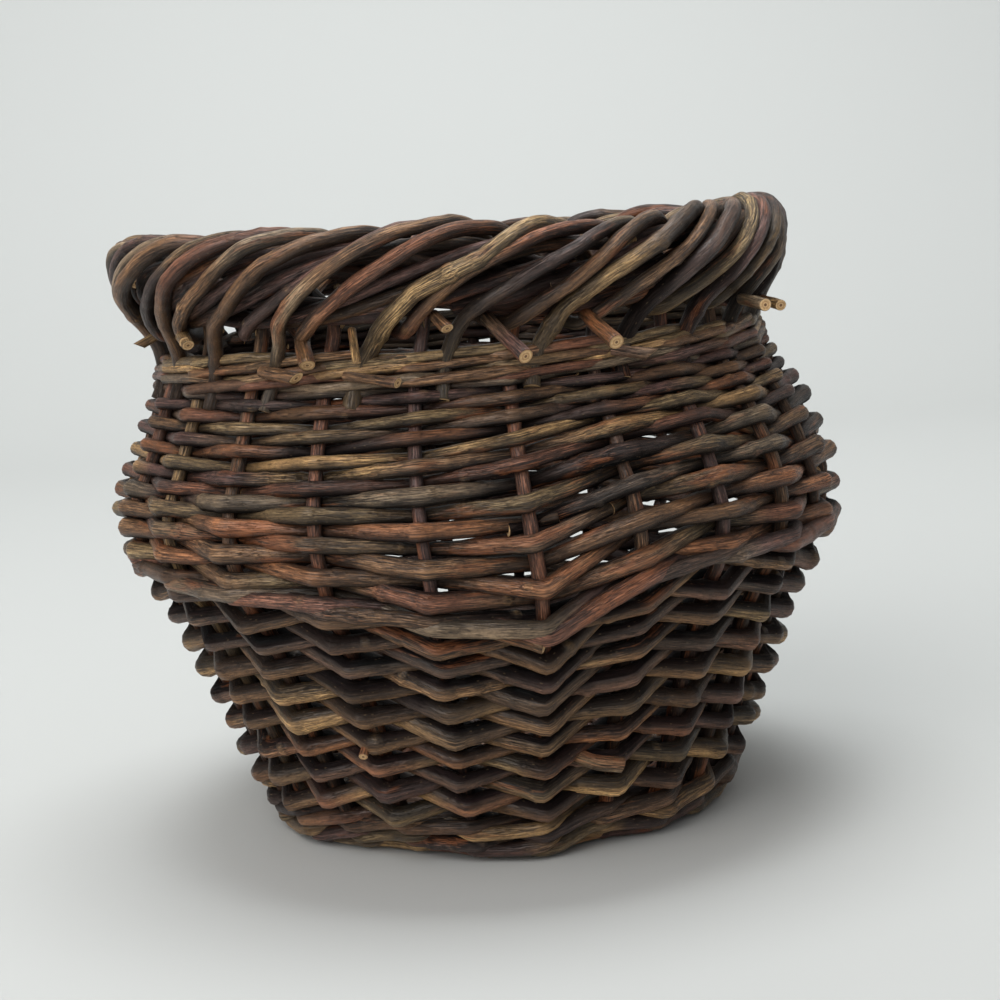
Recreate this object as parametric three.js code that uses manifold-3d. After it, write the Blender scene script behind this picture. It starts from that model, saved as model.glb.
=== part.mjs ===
// A round basket of unpeeled willow, made as it is built: base sticks, base
// weave, stakes, four courses of wall weaving and a rolled border.
// Millimetres, +Z up, origin on the axis at the plane that the foot rests on.
import * as THREE from 'three';
import { mergeVertices } from 'three/addons/utils/BufferGeometryUtils.js';
import Module from 'manifold-3d';

// ---------------------------------------------------------------- dimensions
const STAKES = 24;              // upright stakes round the wall
const STAKE_D = 4.0;            // stake diameter
const WALL_T = 11.0;            // wall thickness: weaver, stake, weaver
const GAP = 0.3;                // clearance between touching pieces
// outer wall radius against height: foot, flare, belly, shoulder, neck
const WALL = [[0, 66.5], [5, 70.5], [12, 74.2], [22, 78], [36, 83.6], [52, 90.3], [64, 95.6], [72, 100.2],
  [78, 104.6], [86, 107.2], [94, 108.2], [102, 107], [110, 104.8], [120, 101], [130, 97.2], [138, 94.8],
  [146, 93.4]];
const FOOT_TOP = 12;            // top of the upsett wale
const BELLY_Z = 86;             // where close weaving turns to loose weaving
const SHOULDER_Z = 137;         // where the loose weaving stops
const WALE_TOP = 145;           // top of the wale under the border
const BASE_Z = 8;               // centre height of the base
const BASE_T = 7.6;             // thickness of the base weave
const BASE_HOLE_R = 21;         // open middle of the base weave, round the cross
const BASE_R = 60.6;            // outer radius of the base weave
const STICK_D = 4.6;            // base spokes
const CROSS_D = 8.4;            // split sticks, at the cross
const HEIGHT = 178;             // top of the border
const BORDER_D = 5.6;           // border rod diameter
const BORDER_R = 90.4;          // ring radius that the border rolls round
const BORDER_A = 10.3;          // half width of the border
const BORDER_B = 15.4;          // half height of the border
const BORDER_EIGHTHS = 15;      // eighths of a wrap that each border rod makes
const BORDER_PITCH = 52.5;      // degrees round the rim in each wrap
const BORDER_SKEW = 3.5;        // degrees by which a wrap's outer half runs longer
const BORDER_LEAD = 4.6;        // degrees from a stake to the tail of its border rod
const BORDER_SWING = 2.6;       // degrees from that tail to where the wrap starts
const BORDER_TAIL_Z = 139.5;    // how far down beside the stake the rod is pushed

const DEG = Math.PI / 180;
const wasm = await Module();
wasm.setup();

// ---------------------------------------------------------------- materials
const bark = {
  dark: new THREE.MeshStandardMaterial({ color: 0x3b2d2b, roughness: 0.72, metalness: 0 }),
  brown: new THREE.MeshStandardMaterial({ color: 0x4d382e, roughness: 0.7, metalness: 0 }),
  red: new THREE.MeshStandardMaterial({ color: 0x64402f, roughness: 0.68, metalness: 0 }),
  olive: new THREE.MeshStandardMaterial({ color: 0x5d5138, roughness: 0.7, metalness: 0 }),
};

// ---------------------------------------------------------------- helpers
// smooth value of a table [[x, y], ...] at x
function table(points, x) {
  const n = points.length;
  if (x <= points[0][0]) return points[0][1];
  if (x >= points[n - 1][0]) return points[n - 1][1];
  let i = 0;
  while (x > points[i + 1][0]) i += 1;
  const slope = (k) => {
    const a = Math.max(k - 1, 0), b = Math.min(k + 1, n - 1);
    return (points[b][1] - points[a][1]) / (points[b][0] - points[a][0]);
  };
  const [x0, y0] = points[i], [x1, y1] = points[i + 1], h = x1 - x0, t = (x - x0) / h;
  return (2 * t ** 3 - 3 * t ** 2 + 1) * y0 + (t ** 3 - 2 * t ** 2 + t) * h * slope(i)
    + (-2 * t ** 3 + 3 * t ** 2) * y1 + (t ** 3 - t ** 2) * h * slope(i + 1);
}
const outer = (z) => table(WALL, z);
const middle = (z) => outer(z) - WALL_T / 2;
const inner = (z) => outer(z) - WALL_T;

// closed solid from a three.js geometry, with its faces pointing out
function solid(geometry) {
  const g = geometry.clone();
  g.deleteAttribute('normal');
  if (g.attributes.uv) g.deleteAttribute('uv');
  const m = mergeVertices(g, 1e-4);
  const p = m.attributes.position.array, t = m.index.array, tris = [];
  let volume = 0;
  for (let i = 0; i < t.length; i += 3) {
    const [a, b, c] = [t[i], t[i + 1], t[i + 2]];
    if (a === b || b === c || c === a) continue;
    tris.push(a, b, c);
    const A = new THREE.Vector3().fromArray(p, 3 * a), B = new THREE.Vector3().fromArray(p, 3 * b),
      C = new THREE.Vector3().fromArray(p, 3 * c);
    volume += A.dot(B.cross(C));
  }
  if (volume < 0) for (let i = 0; i < tris.length; i += 3) [tris[i + 1], tris[i + 2]] = [tris[i + 2], tris[i + 1]];
  return new wasm.Manifold(new wasm.Mesh({
    numProp: 3, vertProperties: new Float32Array(p), triVerts: new Uint32Array(tris),
  }));
}
function geometryOf(manifold) {
  const m = manifold.getMesh(), g = new THREE.BufferGeometry();
  g.setAttribute('position', new THREE.BufferAttribute(new Float32Array(m.vertProperties), 3));
  g.setIndex(new THREE.BufferAttribute(new Uint32Array(m.triVerts), 1));
  g.computeVertexNormals();
  return g;
}
// the outline of a rod's section
function section(d, sides, turn = 0) {
  const s = new THREE.Shape();
  for (let i = 0; i < sides; i += 1) {
    const a = turn + i * 2 * Math.PI / sides;
    if (i === 0) s.moveTo(d / 2 * Math.cos(a), d / 2 * Math.sin(a));
    else s.lineTo(d / 2 * Math.cos(a), d / 2 * Math.sin(a));
  }
  s.closePath();
  return s;
}
// a square channel along a curve, with GAP and a little more round a rod of diameter d
function channel(curve, d, steps) {
  const half = d / 2 + GAP + 0.05;
  return new THREE.ExtrudeGeometry(section(2 * Math.SQRT2 * half, 4, Math.PI / 4), { steps, bevelEnabled: false, extrudePath: curve });
}
// a rod along a curve
function rod(curve, d, steps, sides = 6) {
  return new THREE.ExtrudeGeometry(section(d, sides), { steps, bevelEnabled: false, extrudePath: curve });
}
// a curve made of straight stretches, so that a rod and its channel share every corner
class Polyline extends THREE.Curve {
  constructor(points) { super(); this.points = points; }
  getPoint(t, target = new THREE.Vector3()) {
    const n = this.points.length - 1, x = Math.min(Math.max(t, 0), 1) * n, i = Math.min(Math.floor(x), n - 1);
    return target.copy(this.points[i]).lerp(this.points[i + 1], x - i);
  }
  getPointAt(u, target) { return this.getPoint(u, target); }
  getTangentAt(u, target = new THREE.Vector3()) {
    const n = this.points.length - 1, k = Math.round(u * n);
    const a = this.points[Math.max(k - 1, 0)], b = this.points[Math.min(k + 1, n)], c = this.points[k];
    const p = c.clone().sub(a), q = b.clone().sub(c);
    if (p.lengthSq() > 0) p.normalize();
    if (q.lengthSq() > 0) q.normalize();
    return target.copy(p.add(q)).normalize();
  }
}
// a ring of revolution from a closed outline [[r, z], ...], with one flat to
// each stake and its corners set out so that its mean radius is right
const EASE = 0.5 + 0.5 / Math.cos(Math.PI / STAKES);
function ring(outline, ease = EASE, segments = STAKES) {
  const pts = outline.map(([r, z]) => new THREE.Vector2(r * ease, z));
  pts.push(pts[0].clone());
  const g = new THREE.LatheGeometry(pts, segments, 0);
  g.rotateX(Math.PI / 2);
  return g;
}

// ---------------------------------------------------------------- stakes
// each runs out beside a base spoke, is pricked up at the foot and climbs
// through the middle of the wall to the border
const stakeAngle = (i) => (7.5 + 15 * i) * DEG;
const STAKE_LINE = [[42, BASE_Z], [61, BASE_Z], [68.6, BASE_Z + 3],
  ...[20, 42, 64, 78, 94, 110].map((z) => [middle(z), z]), [middle(WALE_TOP), WALE_TOP + 0.6]];
function stakeCurve(i, extra = 0) {
  const a = stakeAngle(i), line = STAKE_LINE.map((p) => [...p]);
  if (extra) {
    const [p, q] = line.slice(-2), k = 1 + extra / Math.hypot(q[0] - p[0], q[1] - p[1]);
    line[0][0] -= extra;
    line[line.length - 1] = [p[0] + (q[0] - p[0]) * k, p[1] + (q[1] - p[1]) * k];
  }
  return new Polyline(line.map(([r, z]) => new THREE.Vector3(r * Math.cos(a), r * Math.sin(a), z)));
}
const STAKE_STEPS = STAKE_LINE.length - 1;

// ---------------------------------------------------------------- border rods
// each is pushed down beside a stake, rises outside the core, rolls over the
// top, goes down inside and comes round once more to a trimmed end
const wrapA = BORDER_A - BORDER_D / 2, wrapB = BORDER_B - BORDER_D / 2;
const borderZ = HEIGHT - BORDER_B;
// eight stations round the border's section, evenly spaced along its outline
const STATIONS = (() => {
  const n = 720, at = [0];
  for (let k = 0; k < n; k += 1) {
    const a = 2 * Math.PI * (k + 0.5) / n;
    at.push(at[k] + Math.hypot(wrapA * Math.cos(a), wrapB * Math.sin(a)));
  }
  return Array.from({ length: 8 }, (_, j) => 2 * Math.PI * at.findIndex((v) => v >= at[n] * j / 8) / n - Math.PI / 2);
})();
function borderPoint(theta0, eighth) {
  const phi = STATIONS[eighth % 8], t = eighth / 8;
  const theta = theta0 + (t * BORDER_PITCH + BORDER_SKEW * Math.sin(Math.PI * t) ** 2) * DEG;
  const r = BORDER_R + wrapA * Math.cos(phi), z = borderZ + wrapB * Math.sin(phi);
  return new THREE.Vector3(r * Math.cos(theta), r * Math.sin(theta), z);
}
function borderCurve(i, extra = 0) {
  const a = stakeAngle(i) + BORDER_LEAD * DEG, pts = [];
  const at = (r, z, t) => new THREE.Vector3(r * Math.cos(t), r * Math.sin(t), z);
  const drop = WALE_TOP - BORDER_TAIL_Z, slope = (middle(BORDER_TAIL_Z) - middle(WALE_TOP)) / drop;
  pts.push(at(middle(WALE_TOP) + slope * (drop + extra), BORDER_TAIL_Z - extra, a));
  pts.push(at(middle(WALE_TOP), WALE_TOP, a));
  for (let k = 1; k <= BORDER_EIGHTHS; k += 1) pts.push(borderPoint(a + BORDER_SWING * DEG, k));
  return new Polyline(pts);
}

// ---------------------------------------------------------------- base sticks
// three lie across, split in the middle; three pass through them; all six are
// then opened out into twelve even spokes
function stickCurve(k, across) {
  const side = k - 1, off = across ? 10.2 * side : 5.2 * side;
  const angle = 30 * side * DEG, pts = [];
  const bend = across ? 15 : 17;
  for (const s of [-1, 1]) {
    const inn = new THREE.Vector3(s * bend, off, BASE_Z);
    const out = new THREE.Vector3(s * (BASE_R - 0.4) * Math.cos(angle), (BASE_R - 0.4) * Math.sin(angle), BASE_Z);
    const mid = inn.clone().lerp(out, 0.42);
    mid.y += 0.04 * off;
    if (s < 0) pts.push(out, mid, inn); else pts.push(inn, mid, out);
  }
  if (!across) for (const p of pts) [p.x, p.y] = [p.y, p.x];
  return new Polyline(pts);
}

const basket = new THREE.Group();
basket.name = 'willow_basket';
function add(name, geometry, material) {
  const m = new THREE.Mesh(geometry, material);
  m.name = name;
  basket.add(m);
}

const stickSolids = [];
for (const across of [true, false]) {
  for (let k = 0; k < 3; k += 1) {
    let s = solid(rod(stickCurve(k, across), STICK_D, 5, 6));
    if (across) {
      // the thick, split middle of the stick
      const y = 10.2 * (k - 1);
      const belly = new THREE.CylinderGeometry(CROSS_D / 2, CROSS_D / 2, 26, 8, 1);
      belly.rotateZ(Math.PI / 2).translate(0, y, BASE_Z);
      const slot = new THREE.BoxGeometry(3 * STICK_D + 1.2 + 2 * GAP, CROSS_D + 4, STICK_D + 2 * GAP);
      slot.translate(0, y, BASE_Z);
      s = s.add(solid(belly)).subtract(solid(slot));
    }
    stickSolids.push(s);
    add(`base_stick_${stickSolids.length}`, geometryOf(s), bark.brown);
  }
}

// ---------------------------------------------------------------- channels
const channels = [], spokes = [], tails = [];
for (let i = 0; i < STAKES; i += 1) {
  channels.push(solid(channel(stakeCurve(i, 2), STAKE_D, STAKE_STEPS)));
  tails.push(solid(channel(borderCurve(i, 0.5), BORDER_D, BORDER_EIGHTHS + 1)));
}
for (const across of [true, false]) {
  for (let k = 0; k < 3; k += 1) {
    const c = stickCurve(k, across), p = c.points;
    const stretch = (a, b) => b.clone().add(b.clone().sub(a).setLength(3));
    p[0] = stretch(p[1], p[0]);
    p[5] = stretch(p[4], p[5]);
    spokes.push(solid(channel(c, STICK_D, 5)));
  }
}
const cut = (s, cutters) => cutters.reduce((a, b) => a.subtract(b), s);

// ---------------------------------------------------------------- base weave
const zb0 = BASE_Z - BASE_T / 2, zb1 = BASE_Z + BASE_T / 2;
let baseWeave = solid(ring([[BASE_HOLE_R, zb0], [BASE_R, zb0], [BASE_R, zb1], [BASE_HOLE_R, zb1]]));
baseWeave = cut(baseWeave, [...spokes, ...channels]);
add('base_weave', geometryOf(baseWeave), bark.brown);

// ---------------------------------------------------------------- wall courses
function course(zs) {
  return [...zs.map((z) => [outer(z), z]), ...[...zs].reverse().map((z) => [inner(z), z])];
}
// the foot: thick rods that lap the base edge and stand on the floor
const foot = ring([[BASE_R + GAP, 0], [outer(0), 0], [outer(5), 5], [outer(FOOT_TOP), FOOT_TOP],
  [inner(FOOT_TOP), FOOT_TOP], [BASE_R + GAP, 10]]);
add('upsett_wale', geometryOf(cut(solid(foot), channels)), bark.olive);
const lower = ring(course([FOOT_TOP + GAP, 36, 64, 76, BELLY_Z - GAP / 2]));
add('lower_siding', geometryOf(cut(solid(lower), channels)), bark.dark);
const upper = ring(course([BELLY_Z + GAP / 2, 94, 104, 120, SHOULDER_Z - GAP]));
add('upper_siding', geometryOf(cut(solid(upper), channels)), bark.brown);
const wale = ring(course([SHOULDER_Z, WALE_TOP]));
add('top_wale', geometryOf(cut(solid(wale), [...channels, ...tails])), bark.olive);

for (let i = 0; i < STAKES; i += 1) {
  add(`stake_${String(i + 1).padStart(2, '0')}`, rod(stakeCurve(i), STAKE_D, STAKE_STEPS, 6), bark.red);
}

// ---------------------------------------------------------------- border
const room = BORDER_D / 2 + GAP + 0.9;
const coreOutline = STATIONS.map((phi) => [BORDER_R + (wrapA - room) * Math.cos(phi), borderZ + (wrapB - room) * Math.sin(phi)]);
add('border_core', geometryOf(solid(ring(coreOutline, 1))), bark.brown);
for (let i = 0; i < STAKES; i += 1) {
  add(`border_rod_${String(i + 1).padStart(2, '0')}`,
    rod(borderCurve(i), BORDER_D, BORDER_EIGHTHS + 1, 6), i % 2 ? bark.dark : bark.brown);
}

export default basket;
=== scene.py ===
import math
import bpy
import numpy as np
from mathutils import Matrix, Vector


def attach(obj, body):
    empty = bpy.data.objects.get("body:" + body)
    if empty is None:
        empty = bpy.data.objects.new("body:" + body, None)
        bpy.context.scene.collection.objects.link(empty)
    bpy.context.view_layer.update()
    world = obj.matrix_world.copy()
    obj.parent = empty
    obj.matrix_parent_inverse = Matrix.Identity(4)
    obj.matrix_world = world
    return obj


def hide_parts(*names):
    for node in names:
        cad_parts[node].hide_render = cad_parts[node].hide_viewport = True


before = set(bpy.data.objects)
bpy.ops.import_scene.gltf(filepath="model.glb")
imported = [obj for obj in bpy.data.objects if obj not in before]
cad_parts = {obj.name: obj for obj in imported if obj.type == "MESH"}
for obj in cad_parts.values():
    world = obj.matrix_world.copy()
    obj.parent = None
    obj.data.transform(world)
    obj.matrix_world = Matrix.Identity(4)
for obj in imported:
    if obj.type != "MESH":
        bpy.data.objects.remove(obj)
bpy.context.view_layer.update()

MM = 0.001
TAU = 2 * math.pi
DEG = math.pi / 180

# ------------------------------------------------------------------ camera
FOCAL_PX = 2030.0
CAM_D, CAM_H = 0.6097, 0.1840
PITCH, ROLL, YAW = 8.62 * DEG, -3.9 * DEG, 0.62 * DEG


def make_camera():
    cp, sp, cy, sy = math.cos(PITCH), math.sin(PITCH), math.cos(YAW), math.sin(YAW)
    fwd = Vector((sy * cp, cy * cp, -sp))
    right = Vector((cy, -sy, 0))
    up = right.cross(fwd)
    r2 = math.cos(ROLL) * right + math.sin(ROLL) * up
    u2 = -math.sin(ROLL) * right + math.cos(ROLL) * up
    data = bpy.data.cameras.new("camera")
    data.sensor_width = 36.0
    data.lens = FOCAL_PX / 1000 * 36.0
    data.clip_start, data.clip_end = 0.01, 50
    cam = bpy.data.objects.new("camera", data)
    m = Matrix.Identity(4)
    for i in range(3):
        m[i][0], m[i][1], m[i][2] = r2[i], u2[i], -fwd[i]
    m[0][3], m[1][3], m[2][3] = 0.0, -CAM_D, CAM_H
    cam.matrix_world = m
    bpy.context.scene.collection.objects.link(cam)
    bpy.context.scene.camera = cam


make_camera()

# ------------------------------------------------------------- measurements
STAKES = 24
WALL = np.array([[-4, 63], [0, 66.5], [5, 70.5], [12, 74.2], [22, 78], [36, 83.6], [52, 90.3], [64, 95.6], [72, 100.2],
                 [78, 104.6], [86, 107.2], [94, 108.2], [102, 107.0], [110, 104.8], [120, 101.0], [130, 97.2],
                 [138, 94.8], [146, 93.4], [160, 92.5]], float)
HALF_WALL = 5.7
BORDER_R, BORDER_A, BORDER_B, HEIGHT = 90.4, 10.3, 15.4, 178.0


def smooth_table(points, x):
    """Cubic through a table, the same as the CAD uses."""
    px, py = points[:, 0], points[:, 1]
    n = len(px)
    x = np.clip(np.asarray(x, float), px[0], px[-1])
    i = np.clip(np.searchsorted(px, x, side="right") - 1, 0, n - 2)
    k = np.arange(n)
    a, b = np.maximum(k - 1, 0), np.minimum(k + 1, n - 1)
    m = (py[b] - py[a]) / (px[b] - px[a])
    h = px[i + 1] - px[i]
    t = (x - px[i]) / h
    return ((2 * t**3 - 3 * t**2 + 1) * py[i] + (t**3 - 2 * t**2 + t) * h * m[i]
            + (-2 * t**3 + 3 * t**2) * py[i + 1] + (t**3 - t**2) * h * m[i + 1])


def mid_r(z):
    return smooth_table(WALL, z) - HALF_WALL


# the middle of the wall by length along its section
_z = np.linspace(-3, 158, 1200)
_r = mid_r(_z)
_s = np.concatenate([[0], np.cumsum(np.hypot(np.diff(_z), np.diff(_r)))])
_tz, _tr = np.gradient(_z, _s), np.gradient(_r, _s)


def wall_at(s):
    """(r, z, outward normal r, outward normal z) at length s up the wall."""
    s = np.clip(s, 0, _s[-1])
    r, z = np.interp(s, _s, _r), np.interp(s, _s, _z)
    tr, tz = np.interp(s, _s, _tr), np.interp(s, _s, _tz)
    n = np.hypot(tr, tz)
    return r, z, tz / n, -tr / n


def s_at(z):
    return np.interp(z, _z, _s)


class Noise:
    """Smooth one-dimensional noise, of unit size."""

    def __init__(self, seed, length, step):
        rs = np.random.RandomState(seed)
        self.step, self.v = step, rs.uniform(-1, 1, int(length / step) + 4)

    def __call__(self, x, smooth=True):
        x = np.asarray(x, float) / self.step
        i = np.clip(np.floor(x).astype(int), 0, len(self.v) - 2)
        t = np.clip(x - i, 0, 1)
        if smooth:
            t = t * t * (3 - 2 * t)
        return self.v[i] * (1 - t) + self.v[i + 1] * t


# how far the courses rise or dip round the basket, at the belly ridge and well above it
_RIDGE = np.array([[-150, 5.6], [-143, 4.3], [-133, 2.9], [-124, 1.4], [-113, 0.0], [-105, -2.6], [-98.6, -4.6],
                   [-91, -7.4], [-85, -9.0], [-80, -8.6], [-74, -4.2], [-68, 1.6], [-61, 5.8], [-48, 3.2], [-33, 3.0],
                   [0, 2.4], [50, 1.0], [100, 1.5], [140, 3.2], [180, 4.6]], float)
_UPPER = np.array([[-150, -4.6], [-131, -4.3], [-114, -3.2], [-98, -1.8], [-82, 1.3], [-66, 5.2], [-58, 6.3], [-40, 6.5],
                   [-20, 5.8], [10, 4.2], [60, 1.4], [100, -1.0], [140, -3.0], [180, -4.4]], float)


# and how the rim rises and dips
_RIM = np.array([[-180, 0.6], [-162, 0.8], [-145, 0.6], [-132, 0.3], [-115, 0.8], [-100, 1.2], [-88, 1.2],
                 [-77, 0.0], [-68, -1.4], [-58, -1.6], [-46, -0.4], [-34, 1.0], [-20, 1.8], [0, 1.4], [30, -0.6],
                 [60, -2.6], [90, -3.0], [120, -2.4], [145, -1.0], [165, 0.2]], float)


def around(table, deg):
    """A table round the basket, joined up where it comes back to its start."""
    t = np.concatenate([table[-2:] - [[360, 0]], table, table[:2] + [[360, 0]]])
    return smooth_table(t, deg)


def ease(a, b, x):
    t = np.clip((x - a) / (b - a), 0, 1)
    return t * t * (3 - 2 * t)


def warp(p):
    """The basket isn't quite true: its stakes aren't evenly spaced, it leans a little, its courses climb to one
    side and its outline wanders."""
    p = np.array(p, float)
    x, y, z = p[:, 0], p[:, 1], p[:, 2]
    th = np.arctan2(y, x)
    r = np.hypot(x, y)
    deg = th / DEG
    up = ease(80, 124, z)
    climb = around(_RIDGE, deg) * (0.25 * ease(6, 80, z) + 0.75 * np.clip((z - 8) / 72, 0, 1)) * (1 - up) \
        + around(_UPPER, deg) * up * (1 - ease(112, 141, z)) + around(_RIM, deg) * ease(146, 170, z)
    th = th + 2.2 * DEG * np.sin(2 * (th + 92 * DEG)) * np.clip((r - 40) / 30, 0, 1)
    r = r + np.interp(z, [102, 118, 130, 140, 150, 157, 165], [0, -0.9, -2.0, -3.0, -3.5, -2.2, 0]) * np.clip((r - 60) / 15, 0, 1)
    x, y = r * np.cos(th), r * np.sin(th)
    swell = 1 + (0.006 * np.sin(2 * th + 0.7) + 0.005 * np.sin(3 * th + 2.1)) * np.clip(z / 30, 0, 1)
    p[:, 0] = x * swell + np.interp(z, [0, 45, 75, 90, 110, 125, 142, 158, 178],
                                    [1.6, 0.9, 0.6, 0.0, -2.3, -2.7, -2.2, -3.2, -4.4])
    p[:, 1] = y * swell
    p[:, 2] = z + climb
    return p


# ------------------------------------------------------------------ palette
def lin(r, g, b):
    c = np.array([r, g, b], float) / 255
    return np.where(c <= 0.04045, c / 12.92, ((c + 0.055) / 1.055) ** 2.4)


def bark(r, g, b):
    return lin(r, g, b) * np.array([1.1, 0.92, 0.79])


PLUM = bark(80, 60, 56)
UMBER = bark(94, 73, 52)
GREY = bark(106, 96, 80)
OLIVE = bark(106, 93, 68)
TAN = bark(148, 125, 88)
KHAKI = bark(124, 107, 77)
RUST = bark(124, 87, 60)
RED = bark(104, 71, 54)
ROSE = bark(112, 85, 66)
BLACK = bark(54, 43, 40)


def pick(rs, table):
    w = np.array([t[1] for t in table], float)
    return table[rs.choice(len(table), p=w / w.sum())][0]


LOWER = [(PLUM, 5), (UMBER, 5), (OLIVE, 2), (TAN, 1.2), (RUST, 1.0), (RED, 2), (BLACK, 2.5), (GREY, 1)]
UPPER = [(PLUM, 3.5), (UMBER, 4), (OLIVE, 3.5), (TAN, 1.0), (RUST, 1.0), (RED, 1.4), (ROSE, 1), (BLACK, 1.6), (GREY, 3)]
BELLY = [(RED, 1.4), (RUST, 1.7), (PLUM, 2.5), (UMBER, 3), (OLIVE, 1.2), (GREY, 1.0), (BLACK, 1.3)]
WALE = [(OLIVE, 3), (TAN, 1.2), (UMBER, 4), (RED, 1.5), (GREY, 1), (PLUM, 2)]
FOOT = [(OLIVE, 1.5), (TAN, 3), (UMBER, 1.5), (PLUM, 3.5), (RED, 1), (BLACK, 2)]
BORDER = [(PLUM, 4), (UMBER, 3.5), (OLIVE, 3.5), (GREY, 2), (BLACK, 2), (RED, 0.8), (KHAKI, 0.6)]
CORE = [(RED, 3), (UMBER, 4), (PLUM, 3), (BLACK, 2), (RUST, 0.7)]
STAKE = [(UMBER, 3), (PLUM, 2), (TAN, 0.4), (RED, 2), (RUST, 0.6)]


# ------------------------------------------------------------------ rod maker
def crest_field(p, kind):
    """Which way is out of the weave at each point: from the wall, tilted down by so many degrees, or from the middle
    of the border."""
    th, r = np.arctan2(p[:, 1], p[:, 0]), np.hypot(p[:, 0], p[:, 1])
    if kind[0] == "wall":
        _, _, nr, nz = wall_at(s_at(p[:, 2]))
        c, s = math.cos(kind[1] * DEG), math.sin(kind[1] * DEG)
        dr, dz = nr * c + nz * s, nz * c - nr * s
    else:
        dr, dz = r - BORDER_R, p[:, 2] - (HEIGHT - BORDER_B)
        n = np.hypot(dr, dz) + 1e-6
        dr, dz = dr / n, dz / n
    return np.stack([dr * np.cos(th), dr * np.sin(th), dz], 1)


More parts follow.
